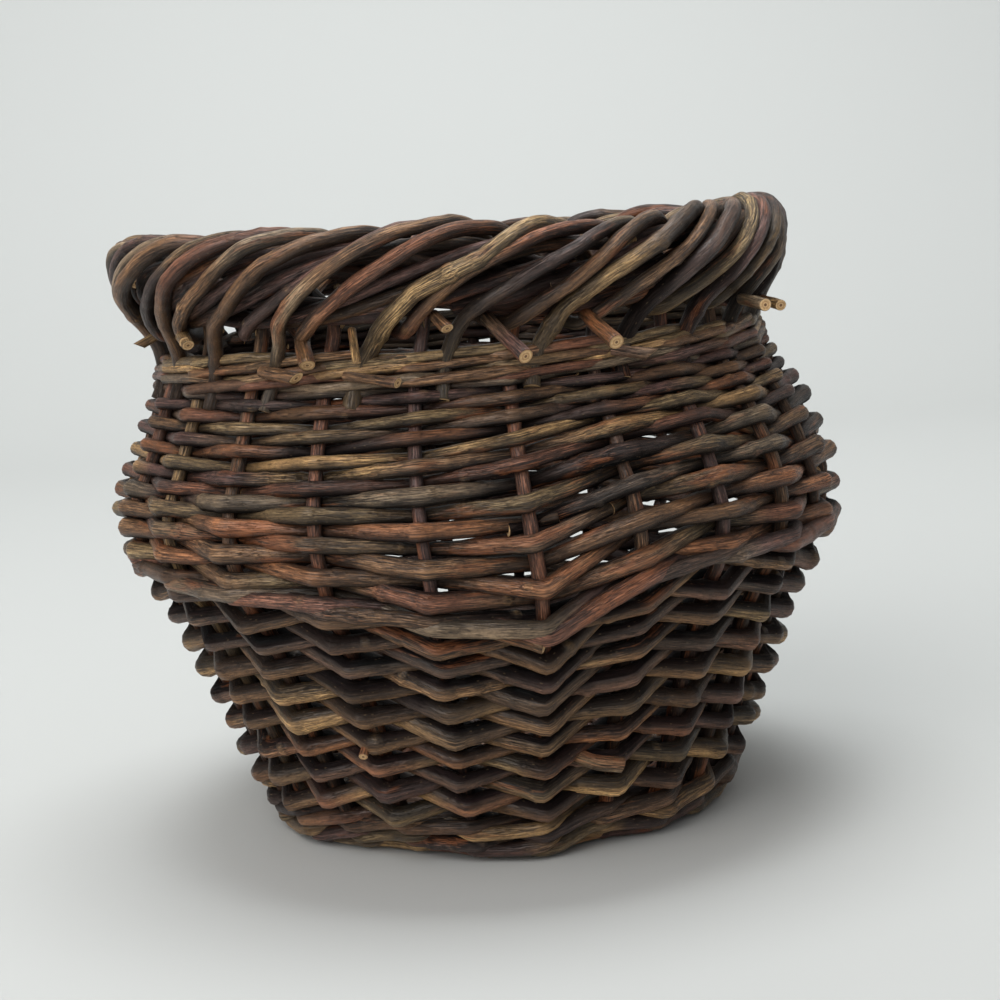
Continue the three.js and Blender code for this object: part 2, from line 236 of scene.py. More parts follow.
class Rods:
    """Closed rods gathered into one mesh, with their straightened coordinates and bark colour, painted light and shade
    included, stored on each point.
    """

    def __init__(self):
        self.v, self.co, self.tint, self.f, self.cap, self.n = [], [], [], [], [], 0

    def add(self, path, radius, colour, seed, sides=12, step=1.0, knots=0.03, blend=None, wrinkle=0.05,
            kink=0.22, bare=0.3, slant=(0.0, 0.0), painted_underlight=0.0, painted_light_facing=None, wear_and_painted_light=1.0, shade=None, inner_painted_shade=0.0):
        """One rod. path is points in mm, radius a number or one per point. knots is knots per mm of length."""
        rs = np.random.RandomState(seed)
        p = np.array(path, float)
        r = np.broadcast_to(np.asarray(radius, float), (len(p),)).astype(float)
        d = np.concatenate([[0], np.cumsum(np.linalg.norm(np.diff(p, axis=0), axis=1))])
        n = max(int(d[-1] / step) + 1, 6)
        u = np.linspace(0, d[-1], n)
        p = np.stack([np.interp(u, d, p[:, k]) for k in range(3)], 1)
        r = np.interp(u, d, r)
        if shade is not None:
            shade = np.interp(u, d, shade)
        L = u[-1]
        # rods aren't perfectly round or straight
        r = r * (1 + 0.05 * Noise(seed + 11, L, 9)(u) + 0.035 * Noise(seed + 12, L, 2.6)(u))
        p = p + 0.14 * np.stack([Noise(seed + 13 + k, L, 8)(u) for k in range(3)], 1)
        p = p + kink * np.stack([Noise(seed + 17 + k, L, 19)(u, False) for k in range(3)], 1)
        bud = np.zeros(n)
        budang = np.zeros(n)
        k = rs.uniform(4, 30)
        knot_at = []
        while k < L - 3 and knots > 0:
            knot_at.append(k)
            k += max(7.0, rs.exponential(1 / knots))
        for k in knot_at:
            g = np.exp(-((u - k) / 1.3) ** 2)
            amp = rs.uniform(0.03, 0.14)
            r = r * (1 + amp * g)
            bud = np.maximum(bud, g * rs.uniform(0.3, 1.0))
            near = np.abs(u - k) < 5
            budang[near] = rs.uniform(0, TAU)
        t = np.gradient(p, axis=0)
        t /= np.linalg.norm(t, axis=1)[:, None]
        # frames carried along without twist
        a = np.zeros((n, 3))
        start = np.array([0.0, 0.0, 1.0]) if abs(t[0, 2]) < 0.8 else np.array([1.0, 0.0, 0.0])
        a[0] = start - t[0] * (start @ t[0])
        a[0] /= np.linalg.norm(a[0])
        for i in range(1, n):
            w = a[i - 1] - t[i] * (a[i - 1] @ t[i])
            a[i] = w / np.linalg.norm(w)
        b = np.cross(t, a)
        ang = np.arange(sides) * TAU / sides
        ca, sa = np.cos(ang), np.sin(ang)
        # shallow lengthwise wrinkles of dried bark
        ph = rs.uniform(0, TAU, 3)
        drift = 1.6 * Noise(seed + 21, L, 25)(u)[:, None]
        w = (np.sin(3 * ang[None] + ph[0] + drift) * 0.5 + np.sin(5 * ang[None] + ph[1] - drift) * 0.6)
        rr = r[:, None] * (1 + wrinkle * w * 0.5)
        lump = bud[:, None] * np.clip(np.cos(ang[None] - budang[:, None]), 0, 1) ** 4
        rr = rr * (1 + 0.15 * lump)
        ring = p[:, None, :] + a[:, None, :] * (ca[None, :, None] * rr[..., None]) \
            + b[:, None, :] * (sa[None, :, None] * rr[..., None])
        # cut ends, sometimes on a slant
        for end, sl in enumerate(slant):
            if sl:
                i = 0 if end == 0 else n - 1
                shift = (ca * rr[i]) * math.tan(sl)
                ring[i] += (t[i][None, :] * shift[:, None])
        base = self.n
        self.v.append(ring.reshape(-1, 3))
        off = rs.uniform(0, 4000)
        co = np.stack([np.broadcast_to((u + off)[:, None], rr.shape), ca[None] * rr, sa[None] * rr], -1)
        self.co.append(co.reshape(-1, 3))
        c = np.broadcast_to(np.asarray(colour, float), (n, 3)).copy()
        other = blend if blend is not None else c[0]
        m = np.clip(0.5 + 1.1 * Noise(seed + 31, L, 30)(u), 0, 1)[:, None] * (1.0 if blend is not None else 0.0)
        c = c * (1 - m) + other * m
        c = c * (1 + 0.2 * Noise(seed + 32, L, 14)(u))[:, None]
        c = np.repeat(c[:, None, :], sides, 1)
        # one flank greyer and lighter than the other, as bark weathers
        side = 0.5 + 0.5 * np.cos(ang[None] + rs.uniform(0, TAU) + 1.5 * Noise(seed + 33, L, 60)(u)[:, None])
        c = c * (0.84 + 0.32 * side[..., None])
        # a darker copy of the colour, for the painted shade on the inward side
        inside = c * inner_painted_shade
        if shade is not None:
            c = c * shade[:, None, None]
        if painted_light_facing:
            # painted light: faces turned towards the given direction get a painted highlight, faces turned away get
            # painted shade
            D = crest_field(p, painted_light_facing)
            e = np.sum(a * D, 1)[:, None] * ca[None] + np.sum(b * D, 1)[:, None] * sa[None]
            e = np.clip((e + 0.15 + 0.15 * Noise(seed + 37, L, 16)(u)[:, None]) / 1.1, 0, 1)
            e = e * e * (3 - 2 * e)
            c = c * np.clip(1 - 0.58 * wear_and_painted_light * (1 - e), 0.2, 1)[..., None] * (1 + 0.8 * wear_and_painted_light * e ** 4)[..., None]
        if painted_underlight:
            # painted light: the upper side gets painted shade and the lower side painted bounce light, tinted tan
            low = 0.5 + 0.5 * np.cos(ang[None] - 142 * DEG + 0.4 * Noise(seed + 35, L, 30)(u)[:, None])
            low = ease(0.56, 0.92, low)
            amt = np.clip(painted_underlight * (0.85 + 0.5 * Noise(seed + 36, L, 40)(u)), 0, 1)[:, None]
            c = c * (1 + amt * (0.4 + 1.25 * low - 1))[..., None]
            c = c + (np.asarray(TAN) - c) * (0.24 * amt * low)[..., None]
        if inner_painted_shade:
            # painted shade: the side towards the inside of the basket is blended to a darker copy of its colour
            D = crest_field(p, ("wall", 0))
            e = -(np.sum(a * D, 1)[:, None] * ca[None] + np.sum(b * D, 1)[:, None] * sa[None])
            k = ease(0.1, 0.8, e)[..., None]
            c = c * (1 - k) + inside * k
        # a dark ring at each knot and a pale scar on its lump
        c = c * (1 - 0.4 * (bud[:, None] * (1 - np.clip(2 * lump, 0, 1)))[..., None])
        c = c + (np.asarray(TAN) - c) * (0.3 * np.clip(1.8 * lump - 0.35, 0, 1))[..., None]
        # how readily the bark is rubbed through to the wood
        alpha = np.clip(bare + 0.35 * Noise(seed + 34, L, 30)(u)[:, None] * np.ones((1, sides)), 0, 1)
        self.tint.append(np.concatenate([np.clip(c, 0.004, 1), alpha[..., None]], -1).reshape(-1, 4))
        i = np.arange(n - 1)[:, None] * sides
        j = np.arange(sides)[None]
        jn = (j + 1) % sides
        q = np.stack([base + i + j, base + i + jn, base + i + sides + jn, base + i + sides + j], -1).reshape(-1, 4)
        self.f.append(q)
        self.n += n * sides
        for end in (0, 1):
            i0 = base if end == 0 else base + (n - 1) * sides
            src = ring[0] if end == 0 else ring[-1]
            # a small rounded lip, then the cut face
            c0 = src.mean(0)
            nrm = -t[0] if end == 0 else t[-1]
            lip = c0 + (src - c0) * 0.93 + nrm * 0.10
            self.v.append(np.concatenate([lip, [c0 + nrm * 0.12]]))
            uu = u[0] if end == 0 else u[-1]
            rad = rr[0] if end == 0 else rr[-1]
            self.co.append(np.concatenate([np.stack([np.full(sides, uu + off), ca * rad * 0.93, sa * rad * 0.93], 1),
                                           [[uu + off, 0, 0]]]))
            self.tint.append(np.tile(np.append(np.clip(c[0 if end == 0 else -1, 0], 0.004, 1), 0.3), (sides + 1, 1)))
            l0 = self.n
            jj = np.arange(sides)
            jm = (jj + 1) % sides
            if end == 0:
                rimq = np.stack([i0 + jm, i0 + jj, l0 + jj, l0 + jm], 1)
                fan = np.stack([l0 + jm, l0 + jj, np.full(sides, l0 + sides)], 1)
            else:
                rimq = np.stack([i0 + jj, i0 + jm, l0 + jm, l0 + jj], 1)
                fan = np.stack([l0 + jj, l0 + jm, np.full(sides, l0 + sides)], 1)
            self.f.append(rimq)
            self.cap.append(fan)
            self.n += sides + 1

    def build(self, name, nodes, smooth=True):
        v = np.concatenate(self.v) * MM
        co, tint = np.concatenate(self.co), np.concatenate(self.tint)
        quads, tris = np.concatenate(self.f), np.concatenate(self.cap)
        me = bpy.data.meshes.new(name)
        me.vertices.add(len(v))
        me.vertices.foreach_set("co", v.astype(np.float32).ravel())
        loops = np.concatenate([quads.ravel(), tris.ravel()])
        me.loops.add(len(loops))
        me.loops.foreach_set("vertex_index", loops.astype(np.int32))
        nq, nt = len(quads), len(tris)
        me.polygons.add(nq + nt)
        start = np.concatenate([np.arange(nq) * 4, nq * 4 + np.arange(nt) * 3]).astype(np.int32)
        me.polygons.foreach_set("loop_start", start)
        me.polygons.foreach_set("loop_total", np.concatenate([np.full(nq, 4), np.full(nt, 3)]).astype(np.int32))
        me.materials.append(BARK)
        me.materials.append(CUT)
        me.polygons.foreach_set("material_index", np.concatenate([np.zeros(nq), np.ones(nt)]).astype(np.int32))
        me.polygons.foreach_set("use_smooth", np.concatenate([np.ones(nq), np.zeros(nt)]).astype(bool))
        me.update(calc_edges=True)
        me.validate()
        a = me.attributes.new("rodco", "FLOAT_VECTOR", "POINT")
        a.data.foreach_set("vector", co.astype(np.float32).ravel())
        a = me.attributes.new("tint", "FLOAT_COLOR", "POINT")
        a.data.foreach_set("color", tint.astype(np.float32).ravel())
        o = bpy.data.objects.new(name, me)
        bpy.context.scene.collection.objects.link(o)
        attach(o, "root")
        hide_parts(*nodes)
        return o


# ---------------------------------------------------------------- materials
def node(nt, kind, x=0, y=0, **props):
    n = nt.nodes.new(kind)
    n.location = (x, y)
    for k, v in props.items():
        setattr(n, k, v)
    return n


def math_node(nt, op, a, b=None, clamp=False):
    n = nt.nodes.new("ShaderNodeMath")
    n.operation, n.use_clamp = op, clamp
    for i, v in enumerate((a, b)):
        if v is None:
            continue
        if isinstance(v, (int, float)):
            n.inputs[i].default_value = v
        else:
            nt.links.new(v, n.inputs[i])
    return n.outputs[0]


def mix_rgb(nt, mode, fac, a, b):
    n = nt.nodes.new("ShaderNodeMix")
    n.data_type, n.blend_type, n.clamp_factor = "RGBA", mode, True
    for sock, v in ((n.inputs[0], fac), (n.inputs[6], a), (n.inputs[7], b)):
        if isinstance(v, (int, float)):
            sock.default_value = v
        elif isinstance(v, (tuple, list)):
            sock.default_value = (*v, 1) if len(v) == 3 else v
        else:
            nt.links.new(v, sock)
    return n.outputs[2]


def ramp(nt, fac, stops):
    n = nt.nodes.new("ShaderNodeValToRGB")
    els = n.color_ramp.elements
    while len(els) > 1:
        els.remove(els[-1])
    els[0].position = stops[0][0]
    els[0].color = (*[stops[0][1]] * 3, 1)
    for pos, val in stops[1:]:
        e = els.new(pos)
        e.color = (*[val] * 3, 1)
    nt.links.new(fac, n.inputs[0])
    return n.outputs[0]


def scaled(nt, vec, sx, sy, sz):
    n = nt.nodes.new("ShaderNodeVectorMath")
    n.operation = "MULTIPLY"
    nt.links.new(vec, n.inputs[0])
    n.inputs[1].default_value = (sx, sy, sz)
    return n.outputs[0]


def noise(nt, vec, scale, detail=3.0, rough=0.55, distort=0.0):
    n = nt.nodes.new("ShaderNodeTexNoise")
    n.inputs["Scale"].default_value = scale
    n.inputs["Detail"].default_value = detail
    n.inputs["Roughness"].default_value = rough
    n.inputs["Distortion"].default_value = distort
    nt.links.new(vec, n.inputs["Vector"])
    return n.outputs["Fac"]


def bark_material():
    m = bpy.data.materials.new("willow_bark")
    m.use_nodes = True
    nt = m.node_tree
    nt.nodes.clear()
    out = node(nt, "ShaderNodeOutputMaterial")
    bsdf = node(nt, "ShaderNodeBsdfPrincipled")
    nt.links.new(bsdf.outputs[0], out.inputs[0])
    rod = node(nt, "ShaderNodeAttribute", attribute_name="rodco").outputs["Vector"]
    tint = node(nt, "ShaderNodeAttribute", attribute_name="tint")
    base, bare = tint.outputs["Color"], tint.outputs["Alpha"]
    # lengthwise fibres, mottling and small marks, all in millimetres along and round the rod
    grain = noise(nt, scaled(nt, rod, 0.09, 2.2, 2.2), 1.0, 3, 0.6, 0.1)
    fine = noise(nt, scaled(nt, rod, 0.3, 4.2, 4.2), 1.0, 2, 0.55)
    calm = ramp(nt, noise(nt, scaled(nt, rod, 0.018, 0.1, 0.1), 1.0, 1, 0.5), [(0.36, 0.35), (0.6, 1.1)])
    calm = math_node(nt, "MULTIPLY", calm, ramp(nt, bare, [(0.0, 0.45), (0.12, 0.95), (0.4, 1.1)]))
    mottle = noise(nt, scaled(nt, rod, 0.1, 0.55, 0.55), 1.0, 5, 0.7, 0.6)
    patch = noise(nt, scaled(nt, rod, 0.05, 0.24, 0.24), 1.0, 3, 0.55)
    dust = noise(nt, scaled(nt, rod, 0.9, 1.5, 1.5), 1.0, 3, 0.7)
    crack = noise(nt, scaled(nt, rod, 0.08, 1.9, 1.9), 1.3, 4, 0.6, 0.4)
    crack = math_node(nt, "ABSOLUTE", math_node(nt, "SUBTRACT", crack, 0.5))
    crack = ramp(nt, crack, [(0.0, 1.0), (0.012, 0.8), (0.035, 0.0)])
    streak = math_node(nt, "ADD", math_node(nt, "MULTIPLY", grain, 0.6), math_node(nt, "MULTIPLY", fine, 0.4))
    streak = math_node(nt, "ADD", math_node(nt, "MULTIPLY", math_node(nt, "SUBTRACT", streak, 0.5), calm), 0.5)
    # fibres lighter and darker than the rod's own colour
    col = mix_rgb(nt, "MULTIPLY", 1.0, base, ramp(nt, streak, [(0.40, 0.3), (0.46, 0.66), (0.515, 1.08), (0.585, 1.9)]))
    col = mix_rgb(nt, "MULTIPLY", 0.8, col, ramp(nt, dust, [(0.3, 0.6), (0.5, 1.0), (0.7, 1.4)]))
    # weathered ridges
    ridge = math_node(nt, "MULTIPLY", ramp(nt, streak, [(0.52, 0.0), (0.59, 1.0)]), ramp(nt, mottle, [(0.4, 0.12), (0.6, 0.85)]))
    wear_and_painted_light = mix_rgb(nt, "ADD", 1.0, mix_rgb(nt, "MULTIPLY", 1.0, base, (2.4, 2.75, 3.0)), (0.016, 0.015, 0.012))
    col = mix_rgb(nt, "MIX", ridge, col, wear_and_painted_light)
    # dark blotches, then bark rubbed through to reddish wood, then cracks
    col = mix_rgb(nt, "MIX", ramp(nt, mottle, [(0.52, 0.0), (0.68, 0.5)]), col, tuple(bark(34, 25, 22)))
    rub = math_node(nt, "ADD", patch, math_node(nt, "MULTIPLY", math_node(nt, "SUBTRACT", bare, 0.5), 0.3))
    rub = math_node(nt, "ADD", rub, math_node(nt, "MULTIPLY", math_node(nt, "SUBTRACT", streak, 0.5), 0.7))
    rub = ramp(nt, rub, [(0.53, 0.0), (0.66, 0.6)])
    wood = mix_rgb(nt, "MIX", fine, tuple(bark(104, 60, 40)), tuple(bark(160, 106, 66)))
    col = mix_rgb(nt, "MIX", rub, col, wood)
    crackm = math_node(nt, "MULTIPLY", crack, ramp(nt, mottle, [(0.42, 0.3), (0.6, 0.95)]))
    col = mix_rgb(nt, "MIX", crackm, col, tuple(bark(20, 14, 13)))
    # small pale pores
    dots = node(nt, "ShaderNodeTexVoronoi", feature="F1")
    dots.inputs["Scale"].default_value = 1.0
    nt.links.new(scaled(nt, rod, 0.36, 0.75, 0.75), dots.inputs["Vector"])
    dot = ramp(nt, dots.outputs["Distance"], [(0.0, 1.0), (0.09, 1.0), (0.16, 0.0)])
    col = mix_rgb(nt, "MIX", math_node(nt, "MULTIPLY", dot, 0.22), col, tuple(lin(150, 126, 94)))
    nt.links.new(col, bsdf.inputs["Base Color"])
    rough = math_node(nt, "ADD", math_node(nt, "MULTIPLY", mottle, 0.34), 0.28, clamp=True)
    lum = node(nt, "ShaderNodeRGBToBW")
    nt.links.new(base, lum.inputs[0])
    # where the tint is darkest, mostly from its painted shade, the bark is rougher and shines less
    rough = math_node(nt, "ADD", rough, ramp(nt, lum.outputs[0], [(0.003, 0.4), (0.014, 0.0)]), clamp=True)
    nt.links.new(rough, bsdf.inputs["Roughness"])
    nt.links.new(ramp(nt, lum.outputs[0], [(0.003, 0.08), (0.022, 0.42)]), bsdf.inputs["Specular IOR Level"])
    h = math_node(nt, "SUBTRACT", math_node(nt, "MULTIPLY", streak, 1.2), math_node(nt, "MULTIPLY", crackm, 0.35))
    h = math_node(nt, "ADD", h, math_node(nt, "MULTIPLY", dot, 0.12))
    bump = node(nt, "ShaderNodeBump")
    bump.inputs["Strength"].default_value = 1.0
    bump.inputs["Distance"].default_value = 0.0005
    nt.links.new(h, bump.inputs["Height"])
    nt.links.new(bump.outputs[0], bsdf.inputs["Normal"])
    return m


def cut_material():
    m = bpy.data.materials.new("willow_cut_end")
    m.use_nodes = True
    nt = m.node_tree
    nt.nodes.clear()
    out = node(nt, "ShaderNodeOutputMaterial")
    bsdf = node(nt, "ShaderNodeBsdfPrincipled")
    nt.links.new(bsdf.outputs[0], out.inputs[0])
    rod = node(nt, "ShaderNodeAttribute", attribute_name="rodco").outputs["Vector"]
    ln = node(nt, "ShaderNodeVectorMath", operation="LENGTH")
    nt.links.new(scaled(nt, rod, 0.0, 1, 1), ln.inputs[0])
    rad = ln.outputs["Value"]
    n = noise(nt, scaled(nt, rod, 0.3, 1.5, 1.5), 1.0, 4, 0.6)
    wav = math_node(nt, "SINE", math_node(nt, "ADD", math_node(nt, "MULTIPLY", rad, 7.0), math_node(nt, "MULTIPLY", n, 3.0)))
    wav = math_node(nt, "ADD", math_node(nt, "MULTIPLY", wav, 0.5), 0.5)
    col = mix_rgb(nt, "MIX", wav, tuple(lin(208, 174, 128)), tuple(lin(176, 136, 92)))
    pith = ramp(nt, rad, [(0.0, 1.0), (0.35, 1.0), (0.5, 0.0)])
    col = mix_rgb(nt, "MIX", pith, col, tuple(lin(112, 78, 50)))
    col = mix_rgb(nt, "MULTIPLY", 0.6, col, ramp(nt, n, [(0.3, 0.55), (0.6, 1.1)]))
    nt.links.new(col, bsdf.inputs["Base Color"])
    bsdf.inputs["Roughness"].default_value = 0.8
    bump = node(nt, "ShaderNodeBump")
    bump.inputs["Strength"].default_value = 0.6
    bump.inputs["Distance"].default_value = 0.0003
    nt.links.new(n, bump.inputs["Height"])
    nt.links.new(bump.outputs[0], bsdf.inputs["Normal"])
    return m


BARK, CUT = bark_material(), cut_material()

# ------------------------------------------------------------------- siding
FOOT_S, BELLY_S, TOP_S = float(s_at(12.5)), float(s_at(82.5)), float(s_at(136.5))
ROWS = 34
LOW_ROWS = 18
# length up the wall at each row: even below, wide above the belly and closing towards the neck
LOW_PITCH = (BELLY_S - 4.2 - FOOT_S) / (LOW_ROWS - 1)
_gap = np.array([4.2, 4.3, 4.3, 4.3, 4.2, 4.1, 3.9, 3.7, 3.5, 3.3, 3.1, 2.9, 2.8, 2.7, 2.6, 2.5])
_gap *= (TOP_S - BELLY_S - 3.0) / _gap.sum()
_up = BELLY_S + 3.0 + np.concatenate([[-4.2, 0], np.cumsum(_gap)])


def level(row, upper):
    """Rows up to the belly and rows above it are two separate runs; the belly wale covers where they meet."""
    return np.interp(row, np.arange(LOW_ROWS - 1, ROWS + 1), _up) if upper else FOOT_S + row * LOW_PITCH


def tri(x, soft=0.9994):
    """A straight-sided wave of unit size, just rounded at its turns."""
    return np.arcsin(soft * np.cos(x)) / math.asin(soft)


def sat(y):
    """y held to +-1 with a soft corner."""
    return y / (1 + np.abs(y) ** 4) ** 0.25


def chords(x, xk, p):
    """A path that runs straight between the places xk and bends only there, as a stiff rod does."""
    xk = np.concatenate([[x[0]], xk[(xk > x[0] + 1e-6) & (xk < x[-1] - 1e-6)], [x[-1]]])
    return np.stack([np.interp(x, xk, np.interp(xk, x, p[:, j])) for j in range(3)], 1)


# where the foot stands off the floor, round the basket
_FOOT = np.array([[-150, 1.0], [-140, 2.5], [-126, 7.0], [-116, 8.5], [-106, 6.5], [-96, 3.6], [-88, 1.2], [-82, 0.2],
                  [-76, 2.0], [-68, 6.6], [-60, 6.4], [-51, 2.0], [-42, 2.5], [-25, 1.0], [0, 3.5], [40, 0.4], [80, 4.0],
                  [120, 0.2], [160, 4.0], [185, 1.6]], float)
STAKE0 = 7.5 * DEG
BASE_SEED = 4100


def siding_path(parity, turn0, turn1, seed, rad, upper):
    """A weaver of the chasing pair: parity 0 passes in front of the even stakes, 1 in front of the odd ones."""
    n = int((turn1 - turn0) * 24 * 22) + 2
    turns = np.linspace(turn0, turn1, n)
    th = turns * TAU
    row = 2 * turns + parity
    L = (turns - turn0) * 610
    Ltot = L[-1] + 1
    low = np.zeros(n) if upper else np.clip((LOW_ROWS + 2 - row) / 3, 0, 1)        # 1 in the close lower weaving
    s = level(row, upper) + 0.34 * Noise(seed, Ltot, 33)(L) + 0.24 * Noise(seed + 1, Ltot, 12)(L)
    sign = 1 if parity == 0 else -1
    # it bends where each stake meets it, not just at the middle
    x = 12 * (th - STAKE0) + 0.14 * Noise(seed + 3, Ltot, 30)(L)
    t = sign * tri(x)
    c = sign * np.cos(x)
    w = (0.06 * sat(1.6 * t) + 0.94 * t) * low + (0.95 * t + 0.05 * sat(1.2 * c)) * (1 - low)
    # low down each stroke hangs over its stake; on the right it rises to it
    turn = np.mod(th / DEG + 180, 360) - 180
    hang = np.interp(turn, [-180, -100, -80, -64, -52, -40, -12, 20, 180], [0.3, 0.3, 0.45, 0.6, -0.2, -0.9, -0.9, 0.0, 0.3])
    s = s - (0.95 * low + hang * (1 - low)) * t
    off = w * (2.05 + rad * 1.02) * (0.8 + 0.13 * low) + 0.22 * Noise(seed + 2, Ltot, 20)(L)
    r, z, nr, nz = wall_at(s)
    rr, zz = r + nr * off, z + nz * off
    # painted shade: where a rod runs behind the stakes its colour is darkened
    shade = np.interp(w, [-1.0, -0.5, 0.0], [0.24, 0.46, 1.0])
    # and where it bends over a stake it is pressed a little wider and its colour is a little lighter
    press = np.exp(-((1 - t) * 12.5 / 1.5) ** 2)
    plump = 1 + (0.12 - 0.06 * low) * t + 0.04 * press
    if upper:
        away = (np.mod(th / DEG + 82 + 180, 360) - 180) / 20
        plump = plump + 0.1 * np.exp(-away ** 2 - ((row - 19) / 3) ** 2)
    path = warp(np.stack([rr * np.cos(th), rr * np.sin(th), zz], 1))
    bends = np.arange(math.ceil(x[0] / math.pi), math.floor(x[-1] / math.pi) + 1) * math.pi
    return chords(x, bends, path), shade * (1 + 0.2 * press), plump


def row_radius(row):
    """Rods are stoutest at the belly and thin out towards the neck."""
    return np.interp(row, [0, 10, 17.4, 17.6, 21, 24, 28, 34], [2.72, 2.7, 2.6, 2.42, 2.36, 2.1, 1.78, 1.44])


def make_siding():
    rs = np.random.RandomState(7)
    made = []
    k = 0
    for parity in (0, 1):
        half = (LOW_ROWS - 0.5 - parity) / 2
        for upper, t, end in ((False, 0.02 + 0.19 * parity, half), (True, half, (ROWS - parity) / 2)):
            while t < end - 0.15:
                # start and stop behind a stake
                t1 = min(t + rs.uniform(0.6, 1.25), end)
                q0 = round((t * 24 - 0.5 - parity) / 2) * 2 + 0.5 + parity + 1
                q1 = round((t1 * 24 - 0.5 - parity) / 2) * 2 + 0.5 + parity + 1
                a, b = (q0 - 0.20) / 24, (q1 + 0.28) / 24
                b = min(b, end + 0.02)
                seed = BASE_SEED + 17 * k
                mid = a + b + parity
                rad = float(row_radius(mid)) * rs.uniform(0.93, 1.06)
                path, shade, plump = siding_path(parity, a, b, seed, rad, upper)
                butt, tip = rad * rs.uniform(1.02, 1.14), rad * rs.uniform(0.84, 0.97)
                if rs.rand() < 0.4:
                    butt, tip = tip, butt
                r = np.linspace(butt, tip, len(path)) * plump
                tab = LOWER if not upper else BELLY if mid < LOW_ROWS + 6 else UPPER
                made.append((path, shade, r, pick(rs, tab), pick(rs, tab), seed, mid))
                t = b - 0.02
                k += 1
    return made


for k, (path, shade, r, c1, c2, seed, mid_row) in enumerate(make_siding()):
    rods = Rods()
    belly = math.exp(-((mid_row - LOW_ROWS - 2) / 5) ** 2)
    shade = shade * (0.54 if mid_row < LOW_ROWS else 0.43)
    # painted light: the lower rows get painted shade on their upper sides and painted light below, the upper rows
    # painted highlights on their upper faces, and all rows painted shade on their inward sides
    rods.add(path, r, c1, seed, blend=c2, knots=0.024, bare=0.35 * belly + (0.0 if mid_row < LOW_ROWS else 0.12),
             painted_underlight=float(np.clip((LOW_ROWS + 1 - mid_row) / 3, 0, 0.9)), shade=shade, inner_painted_shade=0.3 if mid_row < LOW_ROWS else 0.42,
             painted_light_facing=("wall", 34 if mid_row < LOW_ROWS else -18), wear_and_painted_light=1.2 if mid_row < LOW_ROWS else 1.7)
    lower = mid_row < LOW_ROWS
    rods.build(f"weaver_{k + 1:02d}", ["lower_siding"] if lower else ["upper_siding"])

# ------------------------------------------------------------------- stakes
for i in range(STAKES):
    rs = np.random.RandomState(900 + i)
    th0 = (7.5 + 15 * i) * DEG
    zz = np.linspace(14, 158, 90)
    r = mid_r(np.minimum(zz, 150))
    lean = np.where(zz > 140, (zz - 140) * 0.003, 0) + 0.004 * Noise(901 + i, 200, 40)(zz - 14)
    lead = [[rr, 8.0] for rr in np.linspace(42, 60, 8)] + [[64.0, 8.8], [67.0, 10.4], [68.4, 12.2]]
    pts = [[a * math.cos(th0), a * math.sin(th0), b] for a, b in lead]
    pts += [[a * math.cos(th0 + l), a * math.sin(th0 + l), b] for a, b, l in zip(r, zz, lean)]
    pts = warp(pts)
    rad = np.linspace(2.15, 1.8, len(pts)) * rs.uniform(0.92, 1.06)
    rods = Rods()
    # painted light: the stakes' colour is scaled down, far more low down where they sit deep between the close rows
    # (painted shade), and their outward faces get a painted highlight
    rods.add(pts, rad, pick(rs, STAKE), 950 + 13 * i, step=1.4, blend=pick(rs, STAKE), kink=0.1, bare=0.35,
             painted_light_facing=("wall", 0), wear_and_painted_light=0.7, shade=np.interp(pts[:, 2], [62, 84], [0.14, 0.6]))
    rods.build(f"stake_{i + 1:02d}_rod", [f"stake_{i + 1:02d}"])


